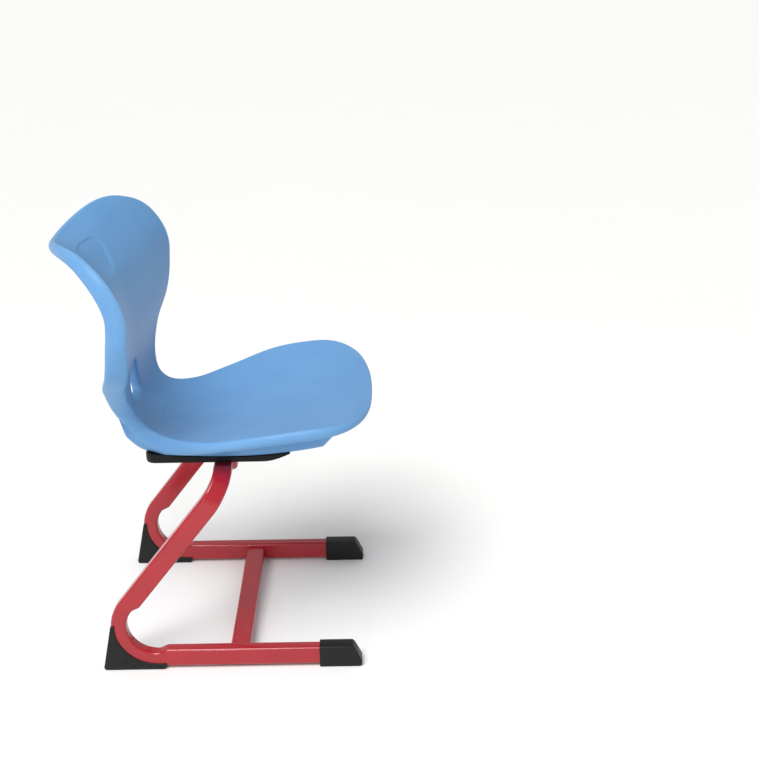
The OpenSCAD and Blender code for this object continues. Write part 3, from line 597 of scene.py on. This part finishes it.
def sideTubePath():
    steps = tube["topSteps"]
    arc = tube["topRadius"] * math.pi / 2 / steps
    moves = np.cumsum([topDirection(90 * (i + 0.5) / steps) * arc for i in range(steps)], axis=0)
    moves = np.vstack([[0, 0, 0], moves])
    slope = math.radians(tube["slope"])
    legEnd = np.array([tube["reach"] - moves[-1][0], runUp - moves[-1][2]])
    turn = math.pi - slope
    cornerF = legEnd[0] - (legEnd[1] - runnerUp) / math.tan(slope)
    heelMid = np.array([cornerF + tube["heelRadius"] * math.tan(turn / 2), runnerUp + tube["heelRadius"]])
    heelEnd = heelMid + tube["heelRadius"] * np.array([-math.sin(slope), math.cos(slope)])

    def squeeze(d):
        return mix(tube["bendDepth"], tube["depth"], float(ease(d / tube["squeeze"])))

    toe = tube["baseLength"] - tube["capNose"] - tube["shoeWall"] - tube["capEnd"]
    path = [((toe, tubeSide, runnerUp), (-1, 0, 0), tube["depth"], tube["width"])]
    for d in np.linspace(tube["squeeze"], 0, 9):
        path.append(((heelMid[0] + d, tubeSide, runnerUp), (-1, 0, 0), squeeze(d), tube["width"]))
    for t in np.linspace(0, turn, 57)[1:]:
        path.append(((heelMid[0] - tube["heelRadius"] * math.sin(t), tubeSide,
                      heelMid[1] - tube["heelRadius"] * math.cos(t)),
                     (-math.cos(t), 0, math.sin(t)), tube["bendDepth"], tube["width"]))
    up = (math.cos(slope), 0, math.sin(slope))
    for d in np.linspace(0, tube["squeeze"], 9)[1:]:
        path.append(((heelEnd[0] + d * up[0], tubeSide, heelEnd[1] + d * up[2]), up, squeeze(d),
                     tube["width"]))
    for i, m in enumerate(moves):
        k = i / steps
        path.append(((legEnd[0] + m[0], tubeSide + m[1], legEnd[1] + m[2]), topDirection(90 * k),
                     mix(tube["depth"], tube["topDepth"], float(ease(2 * k))),
                     mix(tube["width"], tube["runWidth"], k)))
    for k in np.linspace(0, 1, 7):
        path.append(((tube["reach"], tube["flareFrom"] - tube["flareLength"] * k, runUp), (0, -1, 0),
                     mix(tube["topDepth"], tube["runDepth"], float(ease(k))), tube["runWidth"]))
    path.append(((tube["reach"], tube["gap"], runUp), (0, -1, 0), tube["runDepth"], tube["runWidth"]))
    return path, heelMid


def tubeRing(centre, direction, depth, width, grow=0.0):
    d = np.array(direction, float)
    across = np.array([-1.0, 0, 0]) if abs(d[0]) + abs(d[2]) < 0.001 else np.array([-d[2], 0, d[0]])
    across /= np.linalg.norm(across)
    wide = np.cross(d, across)
    wide /= np.linalg.norm(wide)
    mid = np.array(centre, float) + across * (tube["depth"] - depth) / 2
    r = tube["corner"] + grow
    h, w = depth / 2 + grow, width / 2 + grow
    ring = []
    for c, (sx, sy) in enumerate(((1, 1), (-1, 1), (-1, -1), (1, -1))):
        for i in range(tube["cornerSteps"] + 1):
            t = math.radians(90 * c + 90 * i / tube["cornerSteps"])
            ring.append(mid + across * (sx * (h - r) + r * math.cos(t))
                        + wide * (sy * (w - r) + r * math.sin(t)))
    return np.array(ring)


tubePath, heelMid = sideTubePath()


def sideTube(name, mirror, grow=0.0):
    rings = [tubeRing(*step, grow=grow) for step in tubePath]
    rings = [place(g[:, 0], g[:, 1] * mirror, g[:, 2]) for g in rings]
    return meshObject(name, *loft(rings))


for word, mirror in (("Left", 1), ("Right", -1)):
    piece = sideTube("sideTube" + word, mirror)
    bevel = piece.modifiers.new("cut ends", "BEVEL")
    bevel.width, bevel.segments = 0.0004, 2
    bevel.limit_method, bevel.angle_limit = "ANGLE", math.radians(70)
    smooth(piece, 60)
    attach(piece, bodyName)
    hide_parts("side_tube_" + word.lower())
    finish(piece, "frameRed")
print("frame tubes done")

# ---------- feet and caps ----------
foot = {"length": 105, "cheek": 6.5, "lean": 17, "rise": 6, "round": 1.6, "dimpleForward": 38,
        "dimpleUp": 15, "dimple": 4, "toeLean": 4, "toeRise": 3, "heelCut": (3, 4), "topCut": (2, 4),
        "arcSteps": 48}
cap = {"length": 73, "nose": 12, "round": 2.2, "soleCut": (2, 3), "faceUp": 12, "topCut": 4}


def extrude(name, outline, width, side):
    front = [place(f, side - width / 2, z) for f, z in outline]
    back = [place(f, side + width / 2, z) for f, z in outline]
    return meshObject(name, *loft([np.array(front), np.array(back)]))


def roundEdges(piece, radius, angle=30, segments=4):
    bm = bmesh.new()
    bm.from_mesh(piece.data)
    sharp = [e for e in bm.edges if len(e.link_faces) == 2 and e.calc_face_angle() > math.radians(angle)]
    bmesh.ops.bevel(bm, geom=sharp, offset=radius / 1000, segments=segments, profile=0.5,
                    affect="EDGES", clamp_overlap=True)
    bm.to_mesh(piece.data)
    bm.free()


def footOutline():
    r = tube["heelRadius"] + tube["depth"] / 2 - foot["cheek"]
    top = runnerUp + tube["heelRadius"] + foot["rise"]
    start = math.radians(-90)
    stop = math.radians(-180) - math.asin((top - heelMid[1]) / r)
    arc = [(heelMid[0] + r * math.cos(t), heelMid[1] + r * math.sin(t))
           for t in np.linspace(start, stop, foot["arcSteps"])]
    toe = foot["length"] + foot["toeLean"]
    cutForward, cutUp = foot["topCut"]
    sole = [(foot["heelCut"][0], 0), (foot["length"], 0), (toe, tube["sole"] + foot["toeRise"])]
    heel = [(foot["lean"] + cutForward, top), (foot["lean"], top - cutUp), (0, foot["heelCut"][1])]
    return sole + [(toe, arc[0][1])] + arc + heel


def capOutline():
    top = tube["sole"] + tube["depth"] + tube["shoeWall"]
    end, start = tube["baseLength"], tube["baseLength"] - cap["length"]
    nose = end - cap["nose"]
    cutForward, cutUp = cap["soleCut"]
    return [(start, 0), (end - cutForward, 0), (end, cutUp), (end, cap["faceUp"]),
            (nose, top - cap["topCut"]), (nose - cap["topCut"], top), (start, top)]


shoeWidth = tube["width"] + 2 * tube["shoeWall"]


# The ejector mark on the outer cheek of a foot
def dimpleCutter(mirror):
    t = np.linspace(0, 2 * math.pi, 33)[:-1]
    forward = foot["dimpleForward"] + foot["dimple"] / 2 * np.cos(t)
    up = foot["dimpleUp"] + foot["dimple"] / 2 * np.sin(t)
    outer = tubeSide + shoeWidth / 2
    rings = [place(forward, mirror * (outer + k), up) for k in (-1, 1)]
    return meshObject("dimpleCutter", *loft(rings))


for word, mirror in (("Left", 1), ("Right", -1)):
    for kind, outline, radius in (("rearFoot", footOutline(), foot["round"]),
                                  ("frontCap", capOutline(), cap["round"])):
        piece = extrude(kind + word, outline, shoeWidth, mirror * tubeSide)
        roundEdges(piece, radius)
        cut(piece, sideTube("shoeCutter", mirror, tube["gap"]))
        if kind == "rearFoot":
            cut(piece, dimpleCutter(mirror))
        smooth(piece, 35)
        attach(piece, bodyName)
        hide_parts(("rear_foot_" if kind == "rearFoot" else "front_cap_") + word.lower())
        finish(piece, "footBlack")
print("feet and caps done")

# ---------- carried-over parts ----------
carried = {
    "seat_carrier": ("carrierBlack", 0.0012), "floor_cross_bar": ("frameRed", 0.0),
    "tube_sleeve": ("bareSteel", 0.0004), "bearing_strip_left": ("frameRed", 0.0005),
    "bearing_strip_right": ("frameRed", 0.0005), "foot_pins": ("footBlack", 0.0004),
    "cap_pins": ("footBlack", 0.0004), "cross_bar_welds": ("weldRed", 0.0004),
    "strip_welds": ("weldRed", 0.0004), "sleeve_weld": ("weldRed", 0.0003),
    "seat_bolts": ("zincSteel", 0.0005), "seat_washers": ("zincSteel", 0.0003),
    "shell_inserts": ("brass", 0.0003), "shell_screws": ("zincSteel", 0.0004),
}
for name, (look, radius) in carried.items():
    piece = nodes[name]
    finish(piece, look)
    weld = piece.modifiers.new("weld", "WELD")
    weld.merge_threshold = 0.00002
    if radius:
        bevel = piece.modifiers.new("soft edges", "BEVEL")
        bevel.width, bevel.segments, bevel.limit_method = radius, 3, "ANGLE"
        bevel.angle_limit = math.radians(35)
        bevel.harden_normals = True
print("carried-over parts done:", len(carried))

# ---------- floor, light, camera ----------
studio = {
    "floor": "#f7f7f5", "floorDust": "#e9e9e7", "world": 0.52, "lens": 63.4, "sensor": 36,
    "cameraAt": (-2.145854, -0.274066, 1.335283),
    "cameraRight": (-0.0070099, -0.9998697, -0.0145419),
    "cameraUp": (0.3793926, -0.0161143, 0.9250954),
    "lightsAim": (0, 0, 0.4), "floorHalf": 30,
    "sunPower": 1.95, "sunAngle": 40, "sunAim": (0.5, -0.3, -1),
    "keyAt": (-1.7, 0.6, 2.4), "keySize": 0.9, "keyPower": 16,
    "windowAt": (-2.5, 0.4, 0.7), "windowSize": 0.2, "windowPower": 4,
}


def vinylFloor():
    material, tree, surface, coords = newMaterial("pale matt studio vinyl", {"IOR": 1.5, "Roughness": 0.9})
    cloud = addNode(tree, "TexNoise", None, {"Vector": coords, "Scale": perMetre(300), "Detail": 4.0})
    shade = blendColours(tree, spread(tree, cloud.outputs["Fac"], 0, 0.15), linear(studio["floor"]),
                         linear(studio["floorDust"]))
    tree.links.new(shade, surface.inputs["Base Color"])
    return material


reach = studio["floorHalf"]
floor = meshObject("studioFloor", [(-reach, -reach, 0), (reach, -reach, 0), (reach, reach, 0),
                                   (-reach, reach, 0)], [(0, 1, 2, 3)])
floor.data.materials.append(vinylFloor())


def softBox(name, at, size, power):
    light = bpy.data.lights.new(name, "AREA")
    light.size, light.energy = size, power
    lamp = bpy.data.objects.new(name, light)
    lamp.location = at
    lamp.rotation_mode = "QUATERNION"
    lamp.rotation_quaternion = (Vector(studio["lightsAim"]) - Vector(at)).to_track_quat("-Z", "Y")
    bpy.context.scene.collection.objects.link(lamp)


softBox("keyLight", studio["keyAt"], studio["keySize"], studio["keyPower"])
softBox("windowLight", studio["windowAt"], studio["windowSize"], studio["windowPower"])
sky = bpy.data.lights.new("skyLight", "SUN")
sky.energy, sky.angle = studio["sunPower"], math.radians(studio["sunAngle"])
skyLamp = bpy.data.objects.new("skyLight", sky)
skyLamp.rotation_mode = "QUATERNION"
skyLamp.rotation_quaternion = Vector(studio["sunAim"]).to_track_quat("-Z", "Y")
bpy.context.scene.collection.objects.link(skyLamp)

world = bpy.data.worlds.new("studioWorld")
world.use_nodes = True
world.node_tree.nodes["Background"].inputs["Color"].default_value = (1, 1, 1, 1)
world.node_tree.nodes["Background"].inputs["Strength"].default_value = studio["world"]
bpy.context.scene.world = world
bpy.context.scene.view_settings.view_transform = "Standard"

camera = bpy.data.objects.new("camera", bpy.data.cameras.new("camera"))
bpy.context.scene.collection.objects.link(camera)
camera.data.lens = studio["lens"]
camera.data.sensor_width = studio["sensor"]
right, upward = Vector(studio["cameraRight"]), Vector(studio["cameraUp"])
camera.rotation_mode = "QUATERNION"
camera.rotation_quaternion = Matrix((right, upward, right.cross(upward))).transposed().to_quaternion()
camera.location = studio["cameraAt"]
bpy.context.scene.camera = camera
